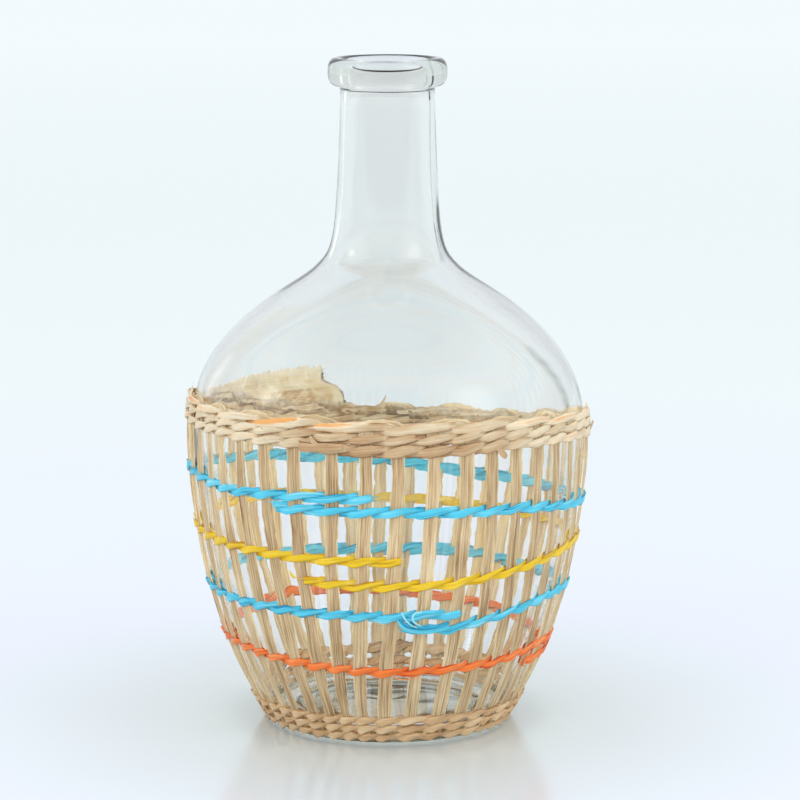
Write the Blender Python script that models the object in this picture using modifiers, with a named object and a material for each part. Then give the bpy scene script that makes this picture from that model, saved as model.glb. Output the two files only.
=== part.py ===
"""A glass bottle vase in a sleeve of twined grass and raffia. Metres, +Z up, front towards -Y.

The bottle is one turned body with an open mouth and a hollow foot. Forty flat grass stakes, bent in
pairs into hairpins, stand round it. Pairs of strands are twined about the stakes: one strand passes in
front of a stake while the other passes behind it, and they change over in the next gap, the one from
the front crossing above. Angles are in degrees round the bottle, 0 at the front, growing to the right.
"""
import math

import bmesh
import bpy
import numpy as np
from mathutils import Vector, geometry

# Bottle
BOTTLE_HEIGHT = 0.300
BELLY_RADIUS = 0.0883
BELLY_HEIGHT = 0.137
BASE_RADIUS = 0.0525
NECK_FOOT_RADIUS = 0.0311
NECK_FOOT_HEIGHT = 0.2092
NECK_TOP_RADIUS = 0.02075
LIP_RADIUS = 0.0267
LIP_DEPTH = 0.0125
WALL = 0.003
HEEL_ROUND = 0.003
FOOT_RING_WIDTH = 0.006
PUNT_HEIGHT = 0.014
FLOOR_THICKNESS = 0.006
BOTTLE_SIDES = 28

# How full the outline's curves are: each handle's reach outwards and upwards, as shares of its stretch.
HEEL_HANDLE = (0.96, 0.39)
BELLY_HANDLE = 0.08
SHOULDER_HANDLE = 0.535
SHOULDER_END_HANDLE = (0.407, 0.277)
NECK_FOOT_HANDLE = (0.497, 0.057)
NECK_TOP_HANDLE = (0.36, 0.04)
LIP_ROUNDNESS = 0.8

# Sleeve
FIT_GAP = 0.0003
STAKE_COUNT = 40
STAKE_WIDTH = 0.0060
STAKE_THICKNESS = 0.0009
STAKE_FOOT = 0.0040
LOOP_NARROWING = 0.36
STRAND_THICKNESS = 0.0011
STRAND_INNER_SHARE = 0.4
RIM_STRAND_HEIGHT = 0.0037
WEFT_STRAND_HEIGHT = 0.0034
BASE_STRAND_HEIGHT = 0.0039
BASE_ROW_HEIGHT = 0.0060
PINCH = 0.55
FLAP_THICKNESS = 0.0008

# Where the stakes stand across the front: at their heads, and at their feet. The rest are even.
FRONT_HEADS = (-75, -67, -59.5, -53.2, -45, -36, -26.3, -15.4, -5.7,
               3.3, 12.7, 22.5, 30.2, 38.5, 47, 54.8, 63.5, 70.5)
FRONT_FEET = (-75, -66.5, -57, -48.8, -41.3, -32, -24, -17, -9.8,
              -1, 9.6, 21, 31.2, 40.6, 49, 57.5, 66, 74)
HEADS_FROM = 0.125
FEET_BELOW = 0.020
STAKE_SHARE = 0.54

# The rim dips at the back. Heights of its top row's middle, round the whole bottle.
RIM_ROUTE = ((-80, 0.1508), (-60, 0.1488), (-40, 0.1483), (20, 0.1483), (50, 0.1472), (80, 0.1440),
             (100, 0.1380), (120, 0.1320), (140, 0.1272), (195, 0.1272), (215, 0.1310),
             (245, 0.1430), (262, 0.1480))
THIRD_ROW_DROP = ((-24, 0.0), (15, 0.0022), (80, 0.0016), (200, 0.0))

# Each coloured weft starts in the front, goes once round and ends over its own start.
BLUE_UPPER = ((-40, 0.1118), (0, 0.1120), (40, 0.1100), (80, 0.1035), (120, 0.0980), (150, 0.0980),
              (185, 0.1030), (245, 0.1125), (280, 0.1180), (310, 0.1160), (335, 0.1175), (360, 0.1178))
YELLOW = ((-32, 0.0806), (-10, 0.0786), (20, 0.0790), (60, 0.0850), (75, 0.0865), (120, 0.0820),
          (180, 0.0850), (250, 0.0920), (330, 0.0900), (370, 0.0896))
BLUE_LOWER = ((-2, 0.0598), (20, 0.0584), (55, 0.0650), (65, 0.0660), (120, 0.0600), (200, 0.0620),
              (280, 0.0650), (345, 0.0650), (363, 0.0643), (373, 0.0656), (388, 0.0656))
ORANGE = ((50, 0.0356), (62, 0.0346), (70, 0.0356), (80, 0.0346), (110, 0.0360), (170, 0.0410),
          (220, 0.0445), (240, 0.0420), (300, 0.0420), (360, 0.0382), (400, 0.0392), (425, 0.0425),
          (440, 0.0405))
WEFTS = (
    ("blue_upper_weft", BLUE_UPPER, 5, 48, "raffia_blue"),
    ("yellow_weft", YELLOW, 6, 49, "raffia_yellow"),
    ("blue_lower_weft", BLUE_LOWER, 9, 51, "raffia_blue"),
    ("orange_weft", ORANGE, 15, 58, "raffia_orange"),
)

# A broad leaf end stands up over the rim at the back left, against the glass.
FLAP_TOP = ((197, 0.1360), (201, 0.1465), (205, 0.1475), (230, 0.1470), (245, 0.1458))
FLAP_SQUARES = (16, 3)

FINISHES = {
    "clear_glass": ((0.86, 0.92, 0.90), 0.03),
    "grass_stake": ((0.63, 0.46, 0.23), 0.65),
    "grass_pale": ((0.83, 0.69, 0.46), 0.60),
    "leaf_brown": ((0.52, 0.40, 0.24), 0.70),
    "raffia_blue": ((0.05, 0.50, 0.79), 0.45),
    "raffia_yellow": ((0.93, 0.64, 0.02), 0.45),
    "raffia_orange": ((0.94, 0.15, 0.03), 0.45),
}


def clear_scene():
    for thing in list(bpy.data.objects):
        bpy.data.objects.remove(thing, do_unlink=True)


def finish(name):
    material = bpy.data.materials.get(name)
    if material is None:
        colour, roughness = FINISHES[name]
        material = bpy.data.materials.new(name)
        material.use_nodes = True
        shader = material.node_tree.nodes["Principled BSDF"]
        shader.inputs["Base Color"].default_value = (*colour, 1.0)
        shader.inputs["Roughness"].default_value = roughness
        shader.inputs["Metallic"].default_value = 0.0
        shader.inputs["Transmission Weight"].default_value = 1.0 if name == "clear_glass" else 0.0
    return material


def add_part(name, mesh, material):
    part = bpy.data.objects.new(name, mesh)
    mesh.materials.append(finish(material))
    PARTS.objects.link(part)
    return part


def bezier(start, start_handle, end_handle, end, count):
    corners = [Vector((radius, height)) for radius, height in (start, start_handle, end_handle, end)]
    return [(point.x, point.y) for point in geometry.interpolate_bezier(*corners, count)]


def body_outline():
    """Outside of the bottle from the base plane up to the belly."""
    flare = BELLY_RADIUS - BASE_RADIUS
    return bezier(
        (BASE_RADIUS, 0.0),
        (BASE_RADIUS + HEEL_HANDLE[0] * flare, HEEL_HANDLE[1] * BELLY_HEIGHT),
        (BELLY_RADIUS, (1 - BELLY_HANDLE) * BELLY_HEIGHT),
        (BELLY_RADIUS, BELLY_HEIGHT),
        8,
    )


def shoulder_outline():
    """Outside from the belly over the round shoulder to the foot of the neck."""
    rise = NECK_FOOT_HEIGHT - BELLY_HEIGHT
    reach = BELLY_RADIUS - NECK_FOOT_RADIUS
    return bezier(
        (BELLY_RADIUS, BELLY_HEIGHT),
        (BELLY_RADIUS, BELLY_HEIGHT + SHOULDER_HANDLE * rise),
        (NECK_FOOT_RADIUS + SHOULDER_END_HANDLE[0] * reach, NECK_FOOT_HEIGHT - SHOULDER_END_HANDLE[1] * rise),
        (NECK_FOOT_RADIUS, NECK_FOOT_HEIGHT),
        8,
    )


def neck_outline():
    """Outside of the neck, from its hollow foot to the underside of the lip."""
    top = BOTTLE_HEIGHT - LIP_DEPTH
    rise = top - NECK_FOOT_HEIGHT
    reach = NECK_FOOT_RADIUS - NECK_TOP_RADIUS
    return bezier(
        (NECK_FOOT_RADIUS, NECK_FOOT_HEIGHT),
        (NECK_FOOT_RADIUS - NECK_FOOT_HANDLE[0] * reach, NECK_FOOT_HEIGHT + NECK_FOOT_HANDLE[1] * rise),
        (NECK_TOP_RADIUS + NECK_TOP_HANDLE[0] * reach, NECK_FOOT_HEIGHT + NECK_TOP_HANDLE[1] * rise),
        (NECK_TOP_RADIUS, top),
        5,
    )


def inset(outline, depth):
    """The outline moved inwards by depth, square to itself."""
    moved = []
    for index, (radius, height) in enumerate(outline):
        before = Vector(outline[max(index - 1, 0)])
        after = Vector(outline[min(index + 1, len(outline) - 1)])
        along = (after - before).normalized()
        moved.append((radius - depth * along.y, height + depth * along.x))
    return moved


def bottle_profile():
    """Half section: floor, inside, lip, outside, foot ring and punt, from axis to axis."""
    body, shoulder, neck = body_outline(), shoulder_outline(), neck_outline()
    outside = body + shoulder[1:] + neck[1:]
    inside = inset(outside, WALL)
    bore = NECK_TOP_RADIUS - WALL
    ring_outer = BASE_RADIUS - HEEL_ROUND
    ring_inner = ring_outer - FOOT_RING_WIDTH

    def punt(radius, floor):
        return floor + PUNT_HEIGHT * (0.5 + 0.5 * math.cos(math.pi * radius / ring_inner))

    floor = [(ring_inner * share, punt(ring_inner * share, FLOOR_THICKNESS)) for share in (0.0, 0.35, 0.75)]
    corner = bezier(
        (ring_inner, FLOOR_THICKNESS),
        (body[0][0], FLOOR_THICKNESS),
        (body[0][0], FLOOR_THICKNESS),
        inside[1],
        3,
    )
    middle = (bore + LIP_RADIUS) / 2
    lip = []
    for step in range(7):
        turn = math.radians(180 - 45 * step)
        wide = math.copysign(abs(math.cos(turn)) ** LIP_ROUNDNESS, math.cos(turn)) * (LIP_RADIUS - bore) / 2
        tall = math.copysign(abs(math.sin(turn)) ** LIP_ROUNDNESS, math.sin(turn)) * LIP_DEPTH / 2
        lip.append((middle + wide, BOTTLE_HEIGHT - LIP_DEPTH / 2 + tall))
    heel = bezier(
        (float(np.interp(HEEL_ROUND, [h for r, h in body], [r for r, h in body])), HEEL_ROUND),
        (BASE_RADIUS, 0.0),
        (BASE_RADIUS, 0.0),
        (ring_outer, 0.0),
        3,
    )
    foot = [(ring_inner * share, punt(ring_inner * share, 0.0)) for share in (1.0, 0.75, 0.35, 0.0)]
    return floor + corner + inside[2::2] + lip + outside[-2:0:-1] + heel + foot


def make_bottle():
    profile = bottle_profile()
    mesh = bpy.data.meshes.new("glass_bottle")
    mesh.from_pydata([(radius, 0.0, height) for radius, height in profile],
                     [(index, index + 1) for index in range(len(profile) - 1)], [])
    bottle = add_part("glass_bottle", mesh, "clear_glass")
    screw = bottle.modifiers.new("turn", "SCREW")
    screw.axis = "Z"
    screw.steps = BOTTLE_SIDES
    screw.render_steps = BOTTLE_SIDES
    screw.use_merge_vertices = True
    screw.merge_threshold = 0.00001
    screw.use_smooth_shade = True


class Surface:
    """The bottle's outside below the neck, which the sleeve is seated on."""

    def __init__(self):
        outline = body_outline() + shoulder_outline()[1:]
        self.radii = [radius for radius, height in outline]
        self.heights = [height for radius, height in outline]

    def radius(self, height):
        return float(np.interp(height, self.heights, self.radii))

    def uphill(self, height):
        """Unit step up the outside: its share outwards and its share upwards."""
        reach = 0.003
        low = max(height - reach, 0.0)
        step = Vector((self.radius(height + reach) - self.radius(low), height + reach - low))
        return step.normalized()

    def along(self, height, distance):
        return height + distance * self.uphill(height).y

    def seat(self, angle, height, lift):
        """Point at a lift off the glass, with the directions off the glass and up it."""
        turn = math.radians(angle)
        outwards = Vector((math.sin(turn), -math.cos(turn), 0.0))
        up = self.uphill(height)
        off = outwards * up.y - Vector((0.0, 0.0, up.x))
        rising = outwards * up.x + Vector((0.0, 0.0, up.y))
        point = outwards * self.radius(height) + Vector((0.0, 0.0, height)) + off * lift
        return point, off, rising


def route_height(route, angle, closed=False):
    angles = [place for place, height in route]
    heights = [height for place, height in route]
    return float(np.interp(angle, angles, heights, period=360 if closed else None))


def stake_places(front):
    """All the stakes' angles: those named in front, and the rest spread evenly round the back."""
    behind = STAKE_COUNT - len(front)
    step = (front[0] + 360 - front[-1]) / (behind + 1)
    return list(front) + [front[-1] + step * (number + 1) for number in range(behind)]


def stake_angle(index, height):
    turn, leg = divmod(index, STAKE_COUNT)
    share = min(max((height - FEET_BELOW) / (HEADS_FROM - FEET_BELOW), 0.0), 1.0)
    return 360 * turn + FEET[leg] + (HEADS[leg] - FEET[leg]) * share


def stake_width(index, height):
    """Full width, or less where the neighbours stand close."""
    here = stake_angle(index, height)
    nearest = min(here - stake_angle(index - 1, height), stake_angle(index + 1, height) - here)
    return min(STAKE_WIDTH, STAKE_SHARE * math.radians(nearest) * GLASS.radius(height))


def crossing_offset(strand_height):
    """How far above or below their row's middle two strands cross."""
    return (PINCH * strand_height + FIT_GAP) / 2


def row_pitch(strand_height):
    return 2 * (PINCH * strand_height + FIT_GAP)


def add_loft(name, rings, closed, material):
    """One closed body through rings of points, all with as many points."""
    shape = bmesh.new()
    loops = [[shape.verts.new(point) for point in ring] for ring in rings]
    following = loops[1:] + loops[:1] if closed else loops[1:]
    for one, other in zip(loops, following):
        for number in range(len(one)):
            after = (number + 1) % len(one)
            shape.faces.new((one[number], one[after], other[after], other[number]))
    if not closed:
        shape.faces.new(loops[0])
        shape.faces.new(loops[-1])
    bmesh.ops.recalc_face_normals(shape, faces=shape.faces)
    mesh = bpy.data.meshes.new(name)
    shape.to_mesh(mesh)
    shape.free()
    mesh.shade_smooth()
    mesh.set_sharp_from_angle(angle=math.radians(60))
    add_part(name, mesh, material)


def hairpin_path(first):
    """Angle, height and share of full width down one stake, over the rim's top row and down the next."""
    middle = (stake_angle(first, HEADS_FROM) + stake_angle(first + 1, HEADS_FROM)) / 2
    half = stake_angle(first + 1, HEADS_FROM) - middle
    narrow = LOOP_NARROWING * stake_width(first, HEADS_FROM)
    rise = crossing_offset(RIM_STRAND_HEIGHT) + PINCH * RIM_STRAND_HEIGHT / 2 + FIT_GAP + narrow / 2
    below_rim = route_height(RIM_ROUTE, middle, closed=True) - row_pitch(RIM_STRAND_HEIGHT)
    levels = [height for height in GLASS.heights if STAKE_FOOT < height < below_rim]
    up = [(stake_angle(first, height), height, 1.0) for height in [STAKE_FOOT] + levels]
    over = []
    for turn in (0, 45, 90, 135, 180):
        angle = middle - half * math.cos(math.radians(turn))
        lift = math.sin(math.radians(turn))
        rim = route_height(RIM_ROUTE, angle, closed=True)
        over.append((angle, GLASS.along(rim, rise * lift), 1.0 - (1.0 - LOOP_NARROWING) * lift))
    down = [(stake_angle(first + 1, height), height, 1.0) for height in reversed([STAKE_FOOT] + levels)]
    return up, over, down


def make_hairpin(number):
    """Two stakes in one strip of grass, flat with a low ridge, narrow where it is bent."""
    first = 2 * number
    up, over, down = hairpin_path(first)
    path = up + over + down
    points, offs = [], []
    for angle, height, share in path:
        point, off, rising = GLASS.seat(angle, height, STAKE_LIFT)
        points.append(point)
        offs.append(off)
    rings = []
    for index, (angle, height, share) in enumerate(path):
        leg = first if index < len(path) // 2 else first + 1
        ahead = points[min(index + 1, len(points) - 1)] - points[max(index - 1, 0)]
        across = offs[index].cross(ahead).normalized() * stake_width(leg, height) / 2 * share
        ridge = offs[index] * STAKE_THICKNESS / 2 * share
        rings.append([points[index] + across, points[index] + ridge, points[index] - across,
                      points[index] - ridge])
    add_loft(f"stake_pair_{number + 1:02d}", rings, False, "grass_stake")


def twined_strand(name, height_at, ends, side, span, strand_height, material):
    """One strand of a pair, twined about the stakes from one to another, or all round with no ends.

    side is 0 or 1, for the two strands of a pair. span is how many stakes each pass takes.
    """
    closed = ends is None
    first, last = ends if ends else (0, STAKE_COUNT - 1)
    offset = crossing_offset(strand_height)
    places = {}
    for index in range(first - 1, last + 2):
        guess = stake_angle(index, height_at(stake_angle(index, HEADS_FROM)))
        places[index] = stake_angle(index, height_at(guess))

    def passing(index):
        return (index + span - 1) // span

    def in_front(index):
        return (passing(index) + side) % 2 == 0

    rings = []

    def add_ring(angle, raised, lift, share):
        height = GLASS.along(height_at(angle), raised)
        point, off, rising = GLASS.seat(angle, height, lift)
        tall = rising * strand_height / 2 * share
        thick = off * STRAND_THICKNESS * share
        inner, ridge = point - thick * STRAND_INNER_SHARE, point + thick * (1 - STRAND_INNER_SHARE)
        rings.append([inner - tall, inner + tall, ridge])

    def add_crossing(index):
        middle = (places[index] + places[index + 1]) / 2
        add_ring(middle, offset if in_front(index) else -offset, STAKE_LIFT, PINCH)

    if not closed:
        add_crossing(first - 1)
    for index in range(first, last + 1):
        add_ring(places[index], 0.0, FRONT_LIFT if in_front(index) else BACK_LIFT, 1.0)
        if passing(index) != passing(index + 1):
            add_crossing(index)
    add_loft(name, rings, closed, material)


def make_rim():
    """Three rows at the top. The top row takes the stakes two by two and crosses inside the loops."""
    pitch = row_pitch(RIM_STRAND_HEIGHT)
    for row in range(3):
        def height_at(angle, row=row):
            drop = route_height(THIRD_ROW_DROP, angle, closed=True) if row == 2 else 0.0
            return route_height(RIM_ROUTE, angle, closed=True) - row * pitch - drop

        for side, letter in enumerate("ab"):
            twined_strand(f"rim_row_{row + 1}_strand_{letter}", height_at, None, side,
                          2 if row == 0 else 1, RIM_STRAND_HEIGHT, "grass_pale")


def make_base_band():
    """Three rows round the foot, on the sloping heel of the bottle."""
    for row in range(3):
        height = BASE_ROW_HEIGHT
        for step in range(row):
            height = GLASS.along(height, row_pitch(BASE_STRAND_HEIGHT))
        for side, letter in enumerate("ab"):
            twined_strand(f"base_row_{row + 1}_strand_{letter}", lambda angle: height, None,
                          (side + row) % 2, 1, BASE_STRAND_HEIGHT, "grass_pale")


def make_wefts():
    """Four coloured pairs, each one turn and a bit."""
    for name, route, first, last, material in WEFTS:
        for side, letter in enumerate("ab"):
            twined_strand(f"{name}_{letter}", lambda angle: route_height(route, angle), (first, last),
                          side, 1, WEFT_STRAND_HEIGHT, material)


def make_flap():
    """Thin leaf end on the glass, standing on the rim's top row behind the loops."""
    clear = crossing_offset(RIM_STRAND_HEIGHT) + PINCH * RIM_STRAND_HEIGHT / 2 + FIT_GAP
    bpy.ops.mesh.primitive_grid_add(x_subdivisions=FLAP_SQUARES[0], y_subdivisions=FLAP_SQUARES[1], size=1.0)
    flap = bpy.context.object
    flap.name = flap.data.name = "leaf_flap"
    start, end = FLAP_TOP[0][0], FLAP_TOP[-1][0]
    for vertex in flap.data.vertices:
        angle = start + (end - start) * (vertex.co.x + 0.5)
        low = GLASS.along(route_height(RIM_ROUTE, angle, closed=True), clear)
        height = low + (route_height(FLAP_TOP, angle) - low) * (vertex.co.y + 0.5)
        vertex.co = GLASS.seat(angle, height, FIT_GAP + FLAP_THICKNESS)[0]
    for collection in list(flap.users_collection):
        collection.objects.unlink(flap)
    PARTS.objects.link(flap)
    flap.data.materials.append(finish("leaf_brown"))
    flap.data.shade_smooth()
    thicken = flap.modifiers.new("thickness", "SOLIDIFY")
    thicken.thickness = FLAP_THICKNESS
    thicken.offset = -1.0


clear_scene()
PARTS = bpy.data.collections.new("woven_bottle_vase")
bpy.context.scene.collection.children.link(PARTS)
GLASS = Surface()
HEADS = stake_places(FRONT_HEADS)
FEET = stake_places(FRONT_FEET)

# Layers off the glass: back strand, stake, front strand, with a gap between each two.
BACK_LIFT = FIT_GAP + STRAND_INNER_SHARE * STRAND_THICKNESS
STAKE_LIFT = 2 * FIT_GAP + STRAND_THICKNESS + STAKE_THICKNESS / 2
FRONT_LIFT = STAKE_LIFT + STAKE_THICKNESS / 2 + FIT_GAP + STRAND_INNER_SHARE * STRAND_THICKNESS

make_bottle()
for pair in range(STAKE_COUNT // 2):
    make_hairpin(pair)
make_rim()
make_base_band()
make_wefts()
make_flap()
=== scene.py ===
import math

import bpy
import numpy as np
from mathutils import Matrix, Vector, geometry


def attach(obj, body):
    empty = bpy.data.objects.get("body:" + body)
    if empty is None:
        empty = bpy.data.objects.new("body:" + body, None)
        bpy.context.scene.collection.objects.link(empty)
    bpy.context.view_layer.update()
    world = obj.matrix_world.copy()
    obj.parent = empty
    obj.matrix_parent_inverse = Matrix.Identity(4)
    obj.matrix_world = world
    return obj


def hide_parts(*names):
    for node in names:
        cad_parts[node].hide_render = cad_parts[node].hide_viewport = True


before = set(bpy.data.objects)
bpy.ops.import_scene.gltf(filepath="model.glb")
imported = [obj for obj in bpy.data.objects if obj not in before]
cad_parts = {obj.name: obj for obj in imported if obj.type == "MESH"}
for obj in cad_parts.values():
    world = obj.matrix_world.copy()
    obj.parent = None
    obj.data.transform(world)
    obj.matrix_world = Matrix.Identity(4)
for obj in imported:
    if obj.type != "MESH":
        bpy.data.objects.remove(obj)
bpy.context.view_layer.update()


# The bottle. Clear glass blown into a mould in one piece, with a faint green cast where it is thick. Its
# wall is a little uneven, the lip is rounded in the fire and the foot is pushed up, to stand on a ring.
BOTTLE_HEIGHT = 0.300
BELLY_RADIUS = 0.0883
BELLY_HEIGHT = 0.137
BASE_RADIUS = 0.0525
NECK_FOOT_RADIUS = 0.0326
NECK_FOOT_HEIGHT = 0.2066
NECK_TOP_RADIUS = 0.0209
LIP_RADIUS = 0.0267
LIP_DEPTH = 0.0125
WALL = 0.003
HEEL_ROUND = 0.003
FOOT_RING_WIDTH = 0.006
PUNT_HEIGHT = 0.0028
FLOOR_THICKNESS = 0.0047
FLOOR_RADIUS = 0.0485
FLOOR_CORNER = 0.0055
GLASS_SIDES = 256
# How full the outline's curves are: the reach of each handle outwards and upwards, in shares of its
# stretch below the belly and in metres above it.
HEEL_HANDLE = (0.96, 0.39)
BELLY_HANDLE = 0.92
SHOULDER_HANDLE = 0.0419
SHOULDER_END_HANDLE = (0.0094, 0.0095)
NECK_FOOT_HANDLE = (0.0091, 0.0092)
NECK_HANDLE = (0.0092, 0.0093)
# Waves of the uneven inside: depth in metres, number round the bottle, start, and slant up the wall.
UNEVENNESS = ((0.00013, 3, 1.3, 21), (0.00010, 5, 4.1, -37), (0.00005, 9, 0.4, 95), (0.00005, 2, 2.0, 160))


def curve(start, start_pull, end_pull, end, count):
    corners = [Vector(corner) for corner in (start, start_pull, end_pull, end)]
    return [(point.x, point.y) for point in geometry.interpolate_bezier(*corners, count)]


def body_outline(count):
    flare = BELLY_RADIUS - BASE_RADIUS
    return curve((BASE_RADIUS, 0.0), (BASE_RADIUS + HEEL_HANDLE[0] * flare, HEEL_HANDLE[1] * BELLY_HEIGHT),
                 (BELLY_RADIUS, BELLY_HANDLE * BELLY_HEIGHT), (BELLY_RADIUS, BELLY_HEIGHT), count)


def shoulder_outline(count):
    return curve((BELLY_RADIUS, BELLY_HEIGHT), (BELLY_RADIUS, BELLY_HEIGHT + SHOULDER_HANDLE),
                 (NECK_FOOT_RADIUS + SHOULDER_END_HANDLE[0], NECK_FOOT_HEIGHT - SHOULDER_END_HANDLE[1]),
                 (NECK_FOOT_RADIUS, NECK_FOOT_HEIGHT), count)


def neck_outline(count):
    return curve((NECK_FOOT_RADIUS, NECK_FOOT_HEIGHT),
                 (NECK_FOOT_RADIUS - NECK_FOOT_HANDLE[0], NECK_FOOT_HEIGHT + NECK_FOOT_HANDLE[1]),
                 (NECK_FOOT_RADIUS - NECK_HANDLE[0], NECK_FOOT_HEIGHT + NECK_HANDLE[1]),
                 (NECK_TOP_RADIUS, BOTTLE_HEIGHT - LIP_DEPTH), count)


def inset(outline, depth):
    moved = []
    for index, (radius, height) in enumerate(outline):
        before = Vector(outline[max(index - 1, 0)])
        after = Vector(outline[min(index + 1, len(outline) - 1)])
        along = (after - before).normalized()
        moved.append((radius - depth * along.y, height + depth * along.x))
    return moved


def lip_outline(count):
    bore = NECK_TOP_RADIUS - WALL
    middle = (bore + LIP_RADIUS) / 2
    ring = []
    for step in range(count):
        turn = math.radians(180 - 270 * step / (count - 1))
        squareness = 0.8 if math.cos(turn) > 0 else 1.15
        wide = math.copysign(abs(math.cos(turn)) ** squareness, math.cos(turn)) * (LIP_RADIUS - bore) / 2
        tall = math.copysign(abs(math.sin(turn)) ** 0.8, math.sin(turn)) * LIP_DEPTH / 2
        ring.append((middle + wide, BOTTLE_HEIGHT - LIP_DEPTH / 2 + tall))
    return ring


def bottle_section():
    """Half section from axis to axis, and how far each point shares in the unevenness of the inside."""
    outside = body_outline(46) + shoulder_outline(54)[1:] + neck_outline(40)[1:]
    inside = inset(outside, WALL)
    ring_outer = BASE_RADIUS - HEEL_ROUND
    ring_inner = ring_outer - FOOT_RING_WIDTH
    shares = np.linspace(0, 1, 22)
    floor_height = PUNT_HEIGHT + FLOOR_THICKNESS
    floor = [(FLOOR_RADIUS * share, floor_height) for share in shares[:-1]]
    corner_top = floor_height + FLOOR_CORNER
    wall_start = next(index for index, point in enumerate(inside) if point[1] > corner_top)
    corner = curve((FLOOR_RADIUS, floor_height), (FLOOR_RADIUS + FLOOR_CORNER, floor_height),
                   (inside[wall_start][0] - 0.0018, floor_height + 0.0012), inside[wall_start], 12)
    under_lip = BOTTLE_HEIGHT - LIP_DEPTH - 0.0004
    below_lip = [point for point in outside if HEEL_ROUND < point[1] < under_lip]
    wall_inside = [point for point in inside[wall_start + 1:] if point[1] < BOTTLE_HEIGHT - LIP_DEPTH]
    lip = lip_outline(34)
    neck_end = below_lip[-1]
    fillet = curve(lip[-1], (neck_end[0] + 0.0003, lip[-1][1]), (neck_end[0], lip[-1][1]), neck_end, 5)[1:-1]
    radii, heights = zip(*outside)
    heel_top = (float(np.interp(HEEL_ROUND, heights, radii)), HEEL_ROUND)
    heel = curve(heel_top, (BASE_RADIUS, 0.0), (BASE_RADIUS, 0.0), (ring_outer, 0.0), 9)
    foot = [(ring_inner * share, PUNT_HEIGHT * (1 - share ** 2)) for share in shares[::-1]]
    section = floor + corner + wall_inside + lip + fillet + below_lip[::-1] + heel + foot
    soft = [0.15] * len(floor) + [0.4] * len(corner) + [1.0] * len(wall_inside) + [0.05] * len(lip)
    soft += [0.1] * (len(section) - len(soft))
    return np.array(section), np.array(soft)


def put_in_scene(name, data):
    thing = bpy.data.objects.new(name, data)
    bpy.context.scene.collection.objects.link(thing)
    return thing


def turned_faces(rings, sides, closed):
    """Faces of a turned form: a point on the axis, rings of points and, where it closes, a last point."""
    faces = []
    for side in range(sides):
        after = (side + 1) % sides
        faces.append((0, 1 + side, 1 + after))
        for ring in range(rings - 1):
            low = 1 + ring * sides
            high = low + sides
            faces.append((low + side, high + side, high + after, low + after))
        if closed:
            last = 1 + (rings - 1) * sides
            faces.append((last + side, last + sides, last + after))
    return faces


def make_bottle():
    section, soft = bottle_section()
    turns = np.linspace(0, 2 * math.pi, GLASS_SIDES, endpoint=False)
    middle = section[1:-1]
    radius = middle[:, 0][:, None]
    height = middle[:, 1][:, None]
    uneven = sum(depth * np.sin(count * turns + start + slant * height)
                 for depth, count, start, slant in UNEVENNESS)
    underneath = np.clip((FLOOR_RADIUS - 0.008 - radius) / 0.004, 0, 1) * (height <= PUNT_HEIGHT)
    ripple = 0.00007 * (np.sin(4 * turns + 210 * radius) + np.sin(7 * turns - 160 * radius + 2.0))
    height = height + underneath * ripple * np.clip(radius / 0.02, 0, 1)
    radius = radius + soft[1:-1, None] * uneven * np.clip(radius / 0.03, 0, 1)
    points = np.stack([radius * np.sin(turns), -radius * np.cos(turns), height + 0 * turns], -1)
    verts = [(0.0, 0.0, section[0][1])] + points.reshape(-1, 3).tolist() + [(0.0, 0.0, section[-1][1])]
    mesh = bpy.data.meshes.new("clear_glass_bottle")
    mesh.from_pydata(verts, [], turned_faces(len(middle), GLASS_SIDES, True))
    mesh.shade_smooth()
    return put_in_scene("clear_glass_bottle", mesh)


def seen(red, green, blue):
    """A colour as it is seen on the piece, 0 to 255, turned into the shader's own scale."""
    parts = [part / 255 for part in (red, green, blue)]
    return [part / 12.92 if part <= 0.04045 else ((part + 0.055) / 1.055) ** 2.4 for part in parts]


class ShaderNet:
    """The shader nodes of a finish or of the air."""

    def __init__(self, owner):
        owner.use_nodes = True
        self.tree = owner.node_tree

    def fill(self, node, inputs):
        """Fill a node's inputs with numbers, colours, outputs, or nodes whose first output is meant."""
        for place, value in inputs.items():
            if isinstance(value, bpy.types.Node):
                value = value.outputs[0]
            if isinstance(value, bpy.types.NodeSocket):
                self.tree.links.new(value, node.inputs[place])
            else:
                node.inputs[place].default_value = value
        return node

    def fill_named(self, name, inputs):
        return self.fill(self.tree.nodes[name], inputs)

    def add(self, kind, inputs, operation=None):
        node = self.tree.nodes.new("ShaderNode" + kind)
        if operation:
            node.operation = operation
        return self.fill(node, inputs)

    def moved(self, value, start, end, low=0.0, high=1.0, smooth=False):
        """The stretch of a value from start to end, moved to the stretch from low to high."""
        inputs = {"Value": value, "From Min": start, "From Max": end, "To Min": low, "To Max": high}
        node = self.add("MapRange", inputs)
        if smooth:
            node.interpolation_type = "SMOOTHSTEP"
        return node

    def combined(self, operation, one, other):
        return self.add("Math", {0: one, 1: other}, operation)

    def mixed_colour(self, share, one, other):
        node = self.tree.nodes.new("ShaderNodeMix")
        node.data_type = "RGBA"
        return self.fill(node, {0: share, 6: one, 7: other}).outputs[2]

    def ramp(self, value, stops):
        """A value turned into a colour along stops, each a place and a colour in the shader's own scale."""
        node = self.add("ValToRGB", {0: value})
        marks = node.color_ramp.elements
        while len(marks) < len(stops):
            marks.new(0.5)
        for mark, (place, colour) in zip(marks, stops):
            mark.position = place
            mark.color = (*colour, 1.0)
        return node


def new_finish(name):
    finish = bpy.data.materials.new(name)
    return finish, ShaderNet(finish)


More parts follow.
